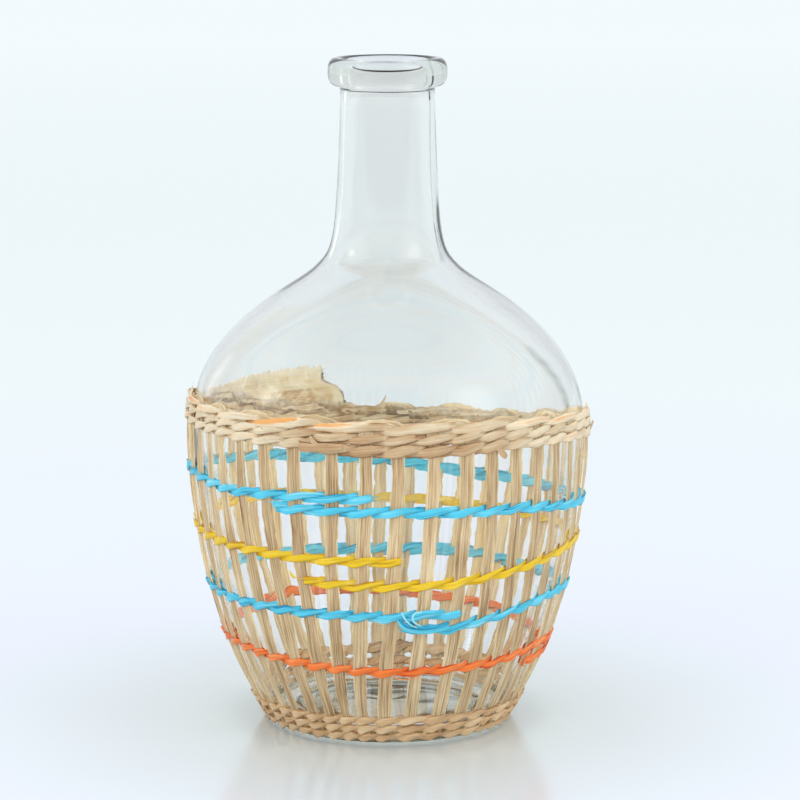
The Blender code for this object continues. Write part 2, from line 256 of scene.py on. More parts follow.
def clear_glass():
    finish, net = new_finish("clear_glass")
    place = net.add("TexCoord", {}).outputs["Object"]
    mould = net.add("TexNoise", {"Vector": place, "Scale": 34, "Detail": 1.5})
    smears = net.add("TexNoise", {"Vector": place, "Scale": 60, "Detail": 4})
    shader = net.fill_named("Principled BSDF", {
        "Base Color": (1.0, 1.0, 1.0, 1),
        "Transmission Weight": 1.0,
        "IOR": 1.5,
        "Roughness": net.moved(smears, 0.45, 0.8, 0.0, 0.035),
        "Normal": net.add("Bump", {"Height": mould, "Strength": 0.12, "Distance": 0.0006}),
    })
    cast = net.add("VolumeAbsorption", {"Color": (0.62, 0.66, 0.57, 1), "Density": 27})
    in_shadow = net.add("LightPath", {}).outputs["Is Shadow Ray"]
    lit_through = net.add("BsdfTransparent", {"Color": (0.98, 0.98, 0.98, 1)})
    either = net.add("MixShader", {0: in_shadow, 1: shader, 2: lit_through})
    net.fill_named("Material Output", {"Surface": either, "Volume": cast})
    return finish


bottle = make_bottle()
bottle.data.materials.append(clear_glass())
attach(bottle, "root")
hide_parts("glass_bottle")


# The stakes. Forty flat strips of dried grass, ribbed along their length, stand round the bottle. Each
# two are one strip, bent over the top row of the rim in a tight hairpin; the feet are cut off at the base.
STAKE_COUNT = 40
STAKE_WIDTH = 0.0063
STAKE_THICKNESS = 0.0009
STAKE_FOOT = 0.0040
STAKE_SHARE = 0.66
STAKE_LIFT = 0.00215
LIFT_AT_HEEL = 0.0011
LOOP_NARROWING = 0.36
FRONT_HEADS = (-75, -67, -59.5, -53.2, -45, -36, -26.3, -15.4, -5.7,
               3.3, 12.7, 22.5, 30.2, 38.5, 47, 54.8, 63.5, 70.5)
FRONT_FEET = (-75, -66.5, -57, -48.8, -41.3, -32, -24, -17, -9.8,
              -1, 9.6, 21, 31.2, 40.6, 49, 57.5, 66, 74)
HEADS_FROM = 0.125
FEET_BELOW = 0.020
LEVEL_STEP = 0.0021
NARROWED_STAKE = 3
NARROWED_AT = 0.1335
FRAYED_FROM = 18
LIFT_FROM = 0.012
LIFT_OVER = 0.035
RIM_PULL = 0.0004
RIM_PULL_FROM = 0.118
RIM_PULL_OVER = 0.015
RIM_STRAND_HEIGHT = 0.0037
FIT_GAP = 0.0003
PINCH = 0.55
ROW_PITCH = 2 * (PINCH * RIM_STRAND_HEIGHT + FIT_GAP)
RIM_TOP = (PINCH * RIM_STRAND_HEIGHT + FIT_GAP) / 2 + PINCH * RIM_STRAND_HEIGHT / 2 + FIT_GAP
RIM_ROUTE = ((-80, 0.1484), (-66, 0.1480), (-37, 0.1479), (-20, 0.1484), (-12, 0.1478), (10, 0.1471),
             (23, 0.1471), (32, 0.1466), (47, 0.1459), (56, 0.1452), (69, 0.1437), (80, 0.1424),
             (100, 0.1370), (120, 0.1310), (140, 0.1267), (195, 0.1270), (215, 0.1308), (245, 0.1425),
             (262, 0.1470))
outline = np.array(body_outline(64) + shoulder_outline(64)[1:])
outline_slope = np.gradient(outline[:, 0], outline[:, 1])


def uphill(height):
    """Unit step up the outside of the glass: its share outwards and its share upwards."""
    slope = np.clip(np.interp(height, outline[:, 1], outline_slope), -6, 6)
    size = np.sqrt(1 + slope ** 2)
    return slope / size, 1 / size


def up_along(height, distance):
    return height + distance * uphill(height)[1]


def glass_radius(height):
    return np.interp(height, outline[:, 1], outline[:, 0])


def on_glass(angle, height, lift):
    """Points at a lift off the glass, with the directions off the glass and up it."""
    angle, height, lift = np.broadcast_arrays(*(np.asarray(part, float) for part in (angle, height, lift)))
    turn = np.radians(angle)
    outwards = np.stack([np.sin(turn), -np.cos(turn), 0 * turn], -1)
    upright = np.array([0.0, 0.0, 1.0])
    out_share, up_share = (part[..., None] for part in uphill(height))
    off = outwards * up_share - upright * out_share
    rising = outwards * out_share + upright * up_share
    points = outwards * glass_radius(height)[..., None] + upright * height[..., None] + off * lift[..., None]
    return points, off, rising


def round_route(route, angle):
    places, heights = zip(*route)
    return np.interp(angle, places, heights, period=360)


def stake_places(front):
    behind = STAKE_COUNT - len(front)
    step = (front[0] + 360 - front[-1]) / (behind + 1)
    return np.array(list(front) + [front[-1] + step * (number + 1) for number in range(behind)])


heads = stake_places(FRONT_HEADS)
feet = stake_places(FRONT_FEET)


def stake_angle(index, height):
    turn, leg = divmod(index, STAKE_COUNT)
    share = np.clip((height - FEET_BELOW) / (HEADS_FROM - FEET_BELOW), 0, 1)
    return 360 * turn + feet[leg] + (heads[leg] - feet[leg]) * share


def stake_width(index, height):
    here = stake_angle(index, height)
    nearest = np.minimum(here - stake_angle(index - 1, height), stake_angle(index + 1, height) - here)
    return np.minimum(STAKE_WIDTH, STAKE_SHARE * np.radians(nearest) * glass_radius(height))


def wander(place, seed, waves):
    """Smooth irregular drift between about -1 and 1; waves is how many turns it makes in one unit."""
    chance = np.random.default_rng(seed)
    total = 0 * np.asarray(place, float)
    for share in (0.45, 0.8, 1.3, 2.1):
        total = total + chance.uniform(0.25, 0.6) / math.sqrt(share) * np.sin(
            2 * math.pi * waves * share * place + chance.uniform(0, 2 * math.pi))
    return np.clip(total, -1.3, 1.3)


def stake_lift(height):
    """How far off the glass the stakes' middles lie; they are pulled in at the heel and the rim."""
    low = LIFT_AT_HEEL + (STAKE_LIFT - LIFT_AT_HEEL) * np.clip((height - LIFT_FROM) / LIFT_OVER, 0, 1)
    return low - RIM_PULL * np.clip((height - RIM_PULL_FROM) / RIM_PULL_OVER, 0, 1)


class SleevePiece:
    """One piece of the sleeve, built up of lofts that carry their grain and tone."""

    def __init__(self, name):
        self.name = name
        self.points, self.faces, self.grain, self.tone = [], [], [], []
        self.count = 0

    def loft(self, rings, along, across, tone, seed, joined=False):
        """Rings of points: along is metres along the fibres, across metres over them, tone 0 to 1."""
        length, around = rings.shape[:2]
        numbers = self.count + np.arange(length * around).reshape(length, around)
        following = np.roll(numbers, -1, axis=0) if joined else numbers[1:]
        near = numbers if joined else numbers[:-1]
        quads = np.stack([near, following, np.roll(following, -1, axis=1), np.roll(near, -1, axis=1)], -1)
        self.faces += quads.reshape(-1, 4).tolist()
        if not joined:
            self.faces.append(numbers[0].tolist())
            self.faces.append(numbers[-1][::-1].tolist())
        self.points.append(rings.reshape(-1, 3))
        spread = np.broadcast_to(np.reshape(along, (length, -1)), (length, around))
        over = np.broadcast_to(across, (length, around))
        apart = np.full((length, around), float(seed))
        self.grain.append(np.stack([spread, over, apart], -1).reshape(-1, 3))
        shade = np.asarray(tone, float)
        if shade.ndim == 1:
            shade = shade[:, None]
        self.tone.append(np.broadcast_to(shade, (length, around)).reshape(-1))
        self.count += length * around

    def done(self, finish, slot, *nodes):
        mesh = bpy.data.meshes.new(self.name)
        mesh.from_pydata(np.concatenate(self.points).tolist(), [], self.faces)
        for name, kind, field, values in (("grain", "FLOAT_VECTOR", "vector", self.grain),
                                          ("tone", "FLOAT", "value", self.tone)):
            attribute = mesh.attributes.new(name, kind, "POINT")
            attribute.data.foreach_set(field, np.concatenate(values).astype(np.float32).ravel())
        mesh.materials.append(finish)
        mesh.shade_smooth()
        mesh.set_sharp_from_angle(angle=math.radians(70))
        piece = put_in_scene(self.name, mesh)
        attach(piece, "root")
        if nodes:
            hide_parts(*nodes)


def path_length(points):
    return np.concatenate([[0.0], np.cumsum(np.linalg.norm(np.diff(points, axis=0), axis=1))])


def frame_along(points, off):
    ahead = np.gradient(points, axis=0)
    ahead /= np.linalg.norm(ahead, axis=1)[:, None]
    across = np.cross(off, ahead)
    across /= np.linalg.norm(across, axis=1)[:, None]
    return across, np.cross(ahead, across)


def sections(points, across, wide, face, deep):
    return points[:, None] + across[:, None] * wide[..., None] + face[:, None] * deep[..., None]


def unit(way):
    return way / np.linalg.norm(way)


def powered(value, power):
    return np.sign(value) * np.abs(value) ** power


def fibre(piece, start, end, bow, width, tone, seed):
    """A thin loose fibre that tapers to nothing."""
    share = np.linspace(0, 1, 7)[:, None]
    path = start + (end - start) * share + bow * np.sin(share * math.pi)
    ahead = (end - start) / max(np.linalg.norm(end - start), 1e-9)
    side = unit(np.cross(ahead, [0.31, 0.52, 0.79]))
    other = np.cross(ahead, side)
    size = (width / 2 * (1 - 0.85 * share))[..., None]
    ring = np.array([0, 2 * math.pi / 3, 4 * math.pi / 3])
    turned = np.cos(ring)[:, None] * side + np.sin(ring)[:, None] * other * 0.6
    piece.loft(path[:, None, :] + turned[None] * size, share * np.linalg.norm(end - start),
               np.array([0, width / 2, width]), tone, seed)


def fibrous_finish(name, tones, fine, coarse, relief, gloss, streak, specks=0.0, through=0.6):
    """Dried leaf or grass: tones from dark to light, streaked and grooved along its fibres.

    fine and coarse are streaks in one metre across the fibres, relief the grooves' depth in metres, gloss
    the least and greatest roughness, streak how far the streaks move the tone, specks how many dark flecks,
    and through how much light the thin leaf lets through.
    """
    finish, net = new_finish(name)
    grain = net.add("Attribute", {})
    grain.attribute_name = "grain"
    tone = net.add("Attribute", {})
    tone.attribute_name = "tone"

    def streaks(along, across, detail, rough):
        stretch = net.add("Mapping", {"Vector": grain.outputs["Vector"], "Scale": (along, across, 1.0)})
        return net.add("TexNoise", {"Vector": stretch, "Scale": 1.0, "Detail": detail, "Roughness": rough})

    fine_lines = streaks(fine / 40, fine, 4.0, 0.7)
    coarse_lines = streaks(coarse / 26, coarse, 3.0, 0.55)
    patches = streaks(70, 160, 2.0, 0.5)
    shade = tone.outputs["Fac"]
    moves = (fine_lines, 0.25, 0.5 * streak), (coarse_lines, 0.25, 0.35 * streak), (patches, 0.3, 0.07)
    for lines, start, reach in moves:
        shade = net.combined("ADD", shade, net.moved(lines, start, 1 - start, -reach, reach))
    colour = net.ramp(shade, [(place, seen(*colour)) for place, colour in tones])
    if specks:
        flecks = net.moved(streaks(420, 1500, 2.0, 0.5), 0.74 - 0.1 * specks, 0.80 - 0.1 * specks)
        colour = net.mixed_colour(flecks, colour, (*seen(*tones[0][1]), 1.0))
    ridges = net.moved(fine_lines, 0.2, 0.8, 0.0, 0.5)
    height = net.combined("ADD", ridges, net.moved(coarse_lines, 0.2, 0.8))
    net.fill_named("Principled BSDF", {
        "Base Color": colour,
        "Roughness": net.moved(fine_lines, 0.3, 0.7, gloss[1], gloss[0]),
        "Normal": net.add("Bump", {"Height": height, "Strength": 1.0, "Distance": relief}),
        "Specular IOR Level": 0.35,
        "Subsurface Weight": through,
        "Subsurface Radius": (1.0, 0.8, 0.5),
        "Subsurface Scale": 0.0006 + 0.0027 * through,
    })
    return finish


def stake_leg(index, heights):
    """Angle, width share and lift of one stake at these heights, with its own irregularity."""
    reach = stake_lift(heights) + 0.00008 * wander(heights, 300 + index, 22)
    sway = 0.00032 * wander(heights, 100 + index, 14) / glass_radius(heights)
    angle = stake_angle(index, heights) + np.degrees(sway)
    share = 0.97 + 0.07 * wander(heights, 200 + index, 18) + 0.04 * math.sin(index * 2.4)
    if index == NARROWED_STAKE:
        share = share * (1 - 0.55 * np.exp(-((heights - NARROWED_AT) / 0.0035) ** 2))
    return angle, share, reach


def make_stake_pair(number, finish):
    first = 2 * number
    middle = (heads[first] + heads[first + 1]) / 2
    half = heads[first + 1] - middle
    head_width = float(stake_width(first, HEADS_FROM))
    rise = RIM_TOP + LOOP_NARROWING * head_width / 2
    below_rim = float(round_route(RIM_ROUTE, middle)) - ROW_PITCH
    levels = np.arange(STAKE_FOOT, below_rim, LEVEL_STEP)
    legs = []
    for leg in (first, first + 1):
        angle, share, reach = stake_leg(leg, levels)
        legs.append((angle, levels, share * stake_width(leg, levels), reach))
    turns = np.radians(np.linspace(0, 180, 25))
    arch = middle - half * np.cos(turns) * np.abs(np.cos(turns)) ** 1.7
    rim = round_route(RIM_ROUTE, arch)
    over = (arch, up_along(rim, 0.86 * rise * np.sin(turns) ** 0.8),
            head_width * (1 - (1 - LOOP_NARROWING) * np.sin(turns) ** 0.7), stake_lift(rim))
    angle, height, width, reach = (
        np.concatenate([legs[0][part], over[part], legs[1][part][::-1]]) for part in range(4))
    points, off = on_glass(angle, height, reach)[:2]
    across, face = frame_along(points, off)
    along = path_length(points)
    tilt = 0.10 * wander(along, 500 + number, 20)[:, None]
    across, face = across * np.cos(tilt) + face * np.sin(tilt), face * np.cos(tilt) - across * np.sin(tilt)
    outer = np.linspace(-1, 1, 21)
    inner = np.linspace(1, -1, 6)[1:-1]
    ribs = 0.5 + 0.5 * np.cos(2 * math.pi * (2.4 + 0.3 * (number % 2)) * outer + number)
    edge = 1 - np.abs(outer) ** 5
    front = STAKE_THICKNESS * (0.16 + 0.26 * edge + 0.12 * ribs * edge)
    over_width = np.concatenate([outer, inner])
    height_over = np.concatenate([front, np.full(len(inner), -0.36 * STAKE_THICKNESS)])
    frayed = first >= FRAYED_FROM
    ragged = 1.8 if frayed else 1.0
    left = 1 + 0.06 * ragged * wander(along, 600 + number, 260) + 0.04 * wander(along, 640 + number, 90)
    right = 1 + 0.06 * ragged * wander(along, 700 + number, 240) + 0.04 * wander(along, 740 + number, 80)
    reach_over = np.where(over_width[None] < 0, over_width[None] * left[:, None],
                          over_width[None] * right[:, None]) * width[:, None] / 2
    rings = sections(points, across, reach_over, face, height_over[None])
    piece = SleevePiece(f"grass_stake_pair_{number + 1:02d}")
    tone = 0.56 + 0.08 * math.sin(number * 1.7) + 0.08 * wander(along, 800 + number, 25)
    tone = tone + 0.22 * np.exp(-((along - along[-1] / 2) / 0.006) ** 2)
    # Painted light and shade: the tone is darker in the grooves between the ribs and lighter on their
    # crests, lighter on the strip's edges, and lighter on the inner face towards the glass.
    painted_light_and_shade = np.concatenate([0.16 * (ribs - 0.5), np.full(len(inner), 0.22)])
    painted_light_and_shade = painted_light_and_shade + 0.18 * np.abs(over_width) ** 5
    piece.loft(rings, along, reach_over, tone[:, None] + painted_light_and_shade[None], number * 3.7)
    chance = np.random.default_rng(900 + number)
    for strand in range(9 if frayed else 3):
        place = chance.integers(8, len(points) - 8)
        side = chance.choice([-1.0, 1.0])
        begin = points[place] + across[place] * side * width[place] * 0.46
        way = points[min(place + 3, len(points) - 1)] - points[place]
        way = way / max(np.linalg.norm(way), 1e-9) * chance.choice([-1.0, 1.0])
        reach_out = chance.uniform(0.0006, 0.0016)
        end = begin + way * chance.uniform(0.003, 0.009) + across[place] * side * reach_out
        fibre(piece, begin, end, across[place] * side * 0.0003, 0.00035, 0.75, number + strand)
    piece.done(finish, "grass_stake", f"stake_pair_{number + 1:02d}")


stake_grass = fibrous_finish(
    "stake_grass",
    ((0.0, (122, 94, 62)), (0.25, (168, 141, 104)), (0.5, (194, 170, 132)), (0.75, (212, 192, 156)),
     (1.0, (231, 214, 180))),
    1900, 700, 0.00026, (0.48, 0.75), streak=0.92, through=0.45)
for number in range(STAKE_COUNT // 2):
    make_stake_pair(number, stake_grass)


# The rim. Three rows of two strands of soft leaf twined about the stakes. One strand passes in front of a
# stake while the other passes behind it, and they change over in the next gap. Nothing is glued.
STRAND_THICKNESS = 0.0015
BACK_THICKNESS = 0.0009
ROW_DROPS = (
    ((-60, 0.0034), (-30, 0.0037), (-12, 0.0044), (10, 0.0044), (30, 0.0039), (60, 0.0038), (180, 0.0042)),
    ((-60, 0.0040), (-26, 0.0039), (-16, 0.0048), (23, 0.0048), (33, 0.0042), (60, 0.0042), (180, 0.0042)),
)
STEPS = 12
CREST_GAP = 0.0001
FRONT_GAP = 0.0002
CHANGE_SPREAD = 0.0005


def strand_pair_places(first, last, span, height_at):
    """Passes and changes of place of a row, as numbers of passes and their angles."""
    marks, angles = [], []
    for index in range(first - 2, last + 3):
        here = stake_angle(index, height_at(stake_angle(index, HEADS_FROM)))
        after = stake_angle(index + 1, height_at(stake_angle(index + 1, HEADS_FROM)))
        if span == 1:
            marks += [index, index + 0.5]
            angles += [here, (here + after) / 2]
        else:
            marks.append((index + 1) // 2 if index % 2 else index // 2 + 0.5)
            angles.append((here + after) / 2)
    return np.array(marks, float), np.array(angles, float)


def within(angle, start, end, soft=6):
    """1 between two angles and 0 outside, with soft edges in degrees."""
    centre = (start + end) / 2
    away = np.abs((angle - centre + 180) % 360 - 180)
    return np.clip(((end - start) / 2 + soft - away) / soft, 0, 1)


def twined_strand(name, height_at, ends, side, span, front_height, shape, tone_at, cut=(0.0, 0.0),
                  stain=None):
    """A strand of a row, with the points along its middle and the directions off, up and over it there.

    ends are its first and last stake, or None where it runs all round; cut is how much is cut off there, in
    steps from stake to stake. shape is its number of creases, their depth, their twist, its plumpness, how
    much of its height is left where it crosses, and how far it leans there. stain is a stretch, from one
    angle to another, that is dyed and thins out to the strand's upper edge. In a gap the strand that leaves
    the front lies higher and further out than the one that comes up.
    """
    creases, depth, twist, plump, pinch, lean = shape
    closed = ends is None
    first, last = ends if ends else (0, STAKE_COUNT - 1)
    marks, angles = strand_pair_places(first, last, span, height_at)
    if closed:
        place = np.arange(0, STAKE_COUNT // span, 1 / (STEPS * span))
    else:
        place = np.linspace(first - 0.5 + cut[0], last + 0.5 - cut[1], (last - first + 1) * STEPS)
    angle = np.interp(place, marks, angles)
    phase = math.pi * (place + side)
    swing = np.cos(phase)
    bulge = np.abs(swing)
    flat = 0.6 if span == 1 else 0.42
    front = np.clip(powered(swing, flat), 0, 1)
    back = np.clip(powered(-swing, flat), 0, 1)
    middle_lift = stake_lift(height_at(angle))
    thick = STRAND_THICKNESS * plump * (front + 0.62 * (1 - bulge ** flat)) + BACK_THICKNESS * back
    lift = middle_lift + CREST_GAP + (FRONT_GAP + STRAND_THICKNESS * plump * 0.5) * front
    lift = lift - 0.68 * middle_lift * back + CHANGE_SPREAD * plump * np.sin(phase) * (1 - bulge ** 3)
    seed = sum(ord(letter) * (number + 3) for number, letter in enumerate(name))

    def drift(number, turns):
        if not closed:
            return wander(angle / 360, seed + number, turns)
        total = 0 * angle
        chance = np.random.default_rng(seed + number)
        for wave in (round(turns * 0.5), turns, round(turns * 1.6)):
            total = total + 0.5 * np.sin(wave * np.radians(angle) + chance.uniform(0, 6.28))
        return total

    broad = front_height(angle) if callable(front_height) else front_height
    tall = broad * (pinch + (1 - pinch) * bulge ** 0.8) * (1 + 0.08 * drift(1, 37))
    raised = lean * np.sin(phase) + 0.00018 * drift(2, 23)
    height = up_along(height_at(angle), raised)
    points, off, rising = on_glass(angle, height, lift)
    roll = (0.25 * np.sin(phase) + 0.10 * drift(3, 31))[:, None]
    up = rising * np.cos(roll) + off * np.sin(roll)
    out = off * np.cos(roll) - rising * np.sin(roll)
    around = np.linspace(0, 2 * math.pi, 18, endpoint=False)
    if closed:
        turning = twist * math.pi * STAKE_COUNT * np.arange(len(place)) / len(place) + seed
        behind = within(angle, 100, 262, 16) * span
    else:
        turning = twist * math.pi * place + seed
        behind = 0 * angle
    depth = depth + 0.10 * behind[:, None]
    tall = tall * (1 + 0.08 * behind * drift(6, 110))
    fold = 1 - depth * np.abs(np.sin(creases / 2 * around[None] + turning[:, None])) ** 0.6
    fold = fold * (1 + 0.05 * np.sin(3 * around[None] + 5 * drift(4, 29)[:, None]))
    over = powered(np.cos(around), 0.85)
    through = powered(np.sin(around), 0.8)
    tall_reach = over[None] * tall[:, None] / 2 * fold
    thick_reach = through[None] * thick[:, None] / 2 * fold
    rings = sections(points, up, tall_reach, out, thick_reach)
    along = path_length(points)
    own = np.random.default_rng(seed + 9).uniform(-1, 1, 200)[(np.round(place).astype(int) + 60) % 200]
    tone = tone_at(angle, own) + 0.05 * drift(5, 17) + 0.06 * behind * drift(7, 70)
    # Painted shade: the tone is darkened in the creases and towards the strand's upper and lower edges,
    # where the rows meet.
    shade = tone[:, None] - 0.35 * (1 - fold) - 0.30 * np.abs(over[None]) ** 5
    if stain:
        progress = (angle - stain[0]) / (stain[1] - stain[0])
        dyed = np.clip(1.5 + 1.5 * over[None] - 1.7 * progress[:, None], 0, 1)
        shade = shade + 0.60 * within(angle, stain[0], stain[1], 2)[:, None] * dyed
    piece = SleevePiece(name)
    piece.loft(rings, along, tall_reach, shade, seed % 97, joined=closed)
    return piece, points, off, rising, up


def rim_height(row):
    def height_at(angle):
        height = round_route(RIM_ROUTE, angle)
        for drops in ROW_DROPS[:row]:
            height = height - round_route(drops, angle)
        return height

    return height_at


rim_leaf = fibrous_finish(
    "rim_leaf",
    ((0.0, (138, 102, 68)), (0.2, (190, 154, 115)), (0.4, (208, 181, 143)), (0.6, (223, 206, 175)),
     (0.8, (239, 225, 197)), (1.0, (234, 174, 106))),
    1400, 420, 0.00022, (0.36, 0.6), streak=0.42, specks=0.4, through=0.15)


def broad_front(plain, broader, *front):
    return lambda angle: plain + broader * within(angle, *front)


def rim_tone(middle, spread, painted_front_shade=0.0, start=0, end=0):
    """The tone of a strand, made paler at the bottle's sides by painted light, darker at the back, and
    darkened by painted shade, if at all, on a stretch in front.
    """
    def tone_at(angle, own):
        # Painted light makes the strand paler away from the front, and painted shade darkens the given
        # stretch in front; the back is darker.
        sides = 0.36 * (1 - within(angle, -14, 20, 30)) - 0.18 * within(angle, 95, 262, 20) - 0.02
        return middle + spread * own + sides - painted_front_shade * within(angle, start, end)

    return tone_at


# For each row the height of its strands, then their two tones and the stretches that are stained orange.
RIM_ROWS = (
    (broad_front(0.0042, 0.0011, -26, 34, 16), (rim_tone(0.50, 0.07), rim_tone(0.52, 0.08)),
     ((-27, -6), (-44, -26))),
    (broad_front(0.0041, 0.0006, -22, 36, 14), (rim_tone(0.44, 0.08), rim_tone(0.40, 0.10)), (None, None)),
    (broad_front(0.0043, 0.0012, -20, 30, 12),
     (rim_tone(0.50, 0.07, 0.15, -23, 34), rim_tone(0.44, 0.10, 0.07, -20, 30)), (None, None)),
)
RIM_SHAPE = (3, 0.12, 0.5, 1.0, 0.60, 0.0009)
for row, (front_height, tones, stains) in enumerate(RIM_ROWS):
    for side, letter in enumerate("ab"):
        piece = twined_strand(
            f"rim_leaf_row_{row + 1}_{letter}", rim_height(row), None, side, 2 if row == 0 else 1,
            front_height, RIM_SHAPE, tones[side], stain=stains[side])[0]
        piece.done(rim_leaf, "grass_band", f"rim_row_{row + 1}_strand_{letter}")


# The base band. Three rows of the same leaf on the sloping heel, a little flatter and warmer in colour than
# the rim, hold the feet of the stakes. The lowest row stops above the ring that the bottle stands on.
BASE_STRAND_HEIGHT = 0.0039
BASE_ROW_HEIGHT = 0.0048
BASE_SIDES_DROP = 0.0011
BASE_SHAPE = (3, 0.16, 0.5, 0.80, 0.50, 0.0010)
base_leaf = fibrous_finish(
    "base_leaf",
    ((0.0, (140, 100, 62)), (0.25, (204, 166, 122)), (0.5, (229, 196, 152)), (0.75, (238, 213, 174)),
     (1.0, (244, 226, 194))),
    1400, 460, 0.00024, (0.42, 0.66), streak=0.42, specks=0.5, through=0.12)
base_height = broad_front(0.0050, 0.0010, 120, 240, 25)
row_height = BASE_ROW_HEIGHT
for row in range(3):
    rise_behind = 0.0004 + 0.0015 * row
    for side, letter in enumerate("ab"):
        piece = twined_strand(
            f"base_leaf_row_{row + 1}_{letter}",
            lambda angle: (row_height - BASE_SIDES_DROP * np.sin(np.radians(angle)) ** 2
                           + rise_behind * within(angle, 120, 240, 25)), None,
            (side + row) % 2, 1, base_height, BASE_SHAPE, lambda angle, own: 0.52 + 0.16 * own)[0]
        piece.done(base_leaf, "grass_band", f"base_row_{row + 1}_strand_{letter}")
    row_height = float(up_along(row_height, 2 * (PINCH * BASE_STRAND_HEIGHT + FIT_GAP)))


# The coloured wefts. Four pairs of dyed raffia, blue, yellow, blue and orange, each twined once round
# among the stakes. A pair starts in front, goes once round and ends in blunt cuts over its own start.
BLUE_UPPER = ((-40, 0.1118), (0, 0.1120), (40, 0.1100), (80, 0.1035), (120, 0.0980), (150, 0.0980),
              (185, 0.1030), (245, 0.1125), (280, 0.1180), (310, 0.1160), (335, 0.1175), (360, 0.1178))
YELLOW = ((-32, 0.0806), (-10, 0.0786), (20, 0.0790), (60, 0.0850), (75, 0.0865), (120, 0.0820),
          (180, 0.0850), (250, 0.0920), (330, 0.0900), (370, 0.0896))
BLUE_LOWER = ((-2, 0.0598), (20, 0.0584), (55, 0.0650), (65, 0.0660), (120, 0.0600), (200, 0.0620),
              (280, 0.0650), (345, 0.0650), (363, 0.0643), (371, 0.0655), (378, 0.0648), (388, 0.0644))
ORANGE = ((50, 0.0356), (62, 0.0346), (70, 0.0356), (80, 0.0346), (110, 0.0360), (170, 0.0410),
          (220, 0.0445), (240, 0.0420), (300, 0.0420), (360, 0.0382), (400, 0.0392), (425, 0.0425),
          (440, 0.0405))
WEFT_HEIGHT = 0.0044
WEFT_SHAPE = (4, 0.22, 0.5, 0.80, 0.66, 0.0012)


def raffia(name, deep, plain, light, pale):
    return fibrous_finish(name, ((0.05, deep), (0.36, plain), (0.56, plain), (0.78, light), (0.98, pale)),
                          1300, 480, 0.00042, (0.34, 0.52), streak=0.86, through=0.12)


blue_raffia = raffia("blue_raffia", (14, 140, 182), (90, 210, 241), (138, 227, 248), (186, 241, 251))
yellow_raffia = raffia("yellow_raffia", (198, 142, 12), (244, 205, 40), (250, 219, 84), (254, 236, 150))
orange_raffia = raffia("orange_raffia", (206, 66, 18), (255, 132, 58), (255, 164, 104), (255, 196, 154))
# For each weft its route, its first and last stake, its finish and slot, and how much is cut off the start
# of both its strands and off the end of each.
WEFTS = (
    ("blue_upper", BLUE_UPPER, 5, 48, blue_raffia, "raffia_blue", (0.76, 0.30, 0.30)),
    ("yellow", YELLOW, 6, 49, yellow_raffia, "raffia_yellow", (0.56, 0.30, 0.30)),
    ("blue_lower", BLUE_LOWER, 9, 51, blue_raffia, "raffia_blue", (0.90, 0.88, 0.40)),
    ("orange", ORANGE, 15, 58, orange_raffia, "raffia_orange", (0.42, 0.25, 0.25)),
)
for weft, route, first, last, finish, slot, (start_cut, *end_cuts) in WEFTS:
    places, heights = zip(*route)
    for side, letter in enumerate("ab"):
        piece, points, off, rising, up = twined_strand(
            f"{weft}_raffia_{letter}", lambda angle: np.interp(angle, places, heights), (first, last), side,
            1, WEFT_HEIGHT, WEFT_SHAPE, lambda angle, own: 0.55 + 0.12 * own, (start_cut, end_cuts[side]))
        chance = np.random.default_rng(len(weft) * 10 + side)
        for end, inward in ((0, 1), (-1, -1)):
            way = unit(points[end] - points[end + 4 * inward])
            for split in range(3):
                begin = points[end] - way * 0.0012 + up[end] * chance.uniform(-0.0011, 0.0011)
                tip = begin + way * chance.uniform(0.0025, 0.0055)
                tip = tip + rising[end] * chance.uniform(-0.001, 0.001)
                fibre(piece, begin, tip, off[end] * 0.0003, 0.0007, 0.6, split)
        piece.done(finish, slot, f"{weft}_weft_{letter}")


# The leaf end. A broad dry piece of leaf stands up over the back of the rim, flat against the glass, torn
# along its edges. It is held only by the top row, and the loops of the stakes stand in front of it.
FLAP_TOP = ((193.7, 0.1494), (200.8, 0.1499), (204, 0.1506), (212, 0.1500), (220, 0.1499), (230, 0.1494),
            (236, 0.1488), (240, 0.1480), (246, 0.1478), (253, 0.1482))
FLAP_EDGE = ((0.1340, 193.7), (0.1394, 195.8), (0.1403, 198.8), (0.1420, 200.8), (0.1492, 201.3))
FLAP_START = 196.3
FLAP_END = 253
FLAP_THICKNESS = 0.0008
FLAP_RADIUS = 0.085
CRUMPLE_RADIUS = 0.088
SCRAP_THICKNESS = 0.00044
SCRAP_RADIUS = 0.08


def crumpled(angle, height, seed):
    """Folds that run about in every direction over the back of the glass, between -1 and 1."""
    chance = np.random.default_rng(seed)
    place, total = np.radians(angle) * CRUMPLE_RADIUS, 0 * angle * height
    for size in (0.016, 0.011, 0.0075, 0.005, 0.0034):
        turn = chance.uniform(-1.2, 1.2)
        across = (place * math.cos(turn) + height * math.sin(turn)) / size
        along = (height * math.cos(turn) - place * math.sin(turn)) / size
        bend = 0.8 * np.sin(along * 2.1 + chance.uniform(0, 6))
        fold = 1 - 2 * np.abs(np.sin(across * 3.14 + bend + chance.uniform(0, 6)))
        total = total + (size / 0.016) ** 0.5 * fold
    return np.clip(total / 1.8, -1, 1)


def leaf_sheet(piece, angle, height, lift, half_thickness, least, along, tone, seed):
    """Loft a thin leaf over the glass, its back no nearer to the glass than least."""
    front = on_glass(angle, height, lift + half_thickness)[0]
    back = on_glass(angle, height, np.maximum(lift - half_thickness, least))[0]
    rings, over, shade = (np.concatenate([before, behind[:, ::-1]], axis=1)
                          for before, behind in ((front, back), (height, height), (tone, tone)))
    piece.loft(rings, along, over, shade, seed)


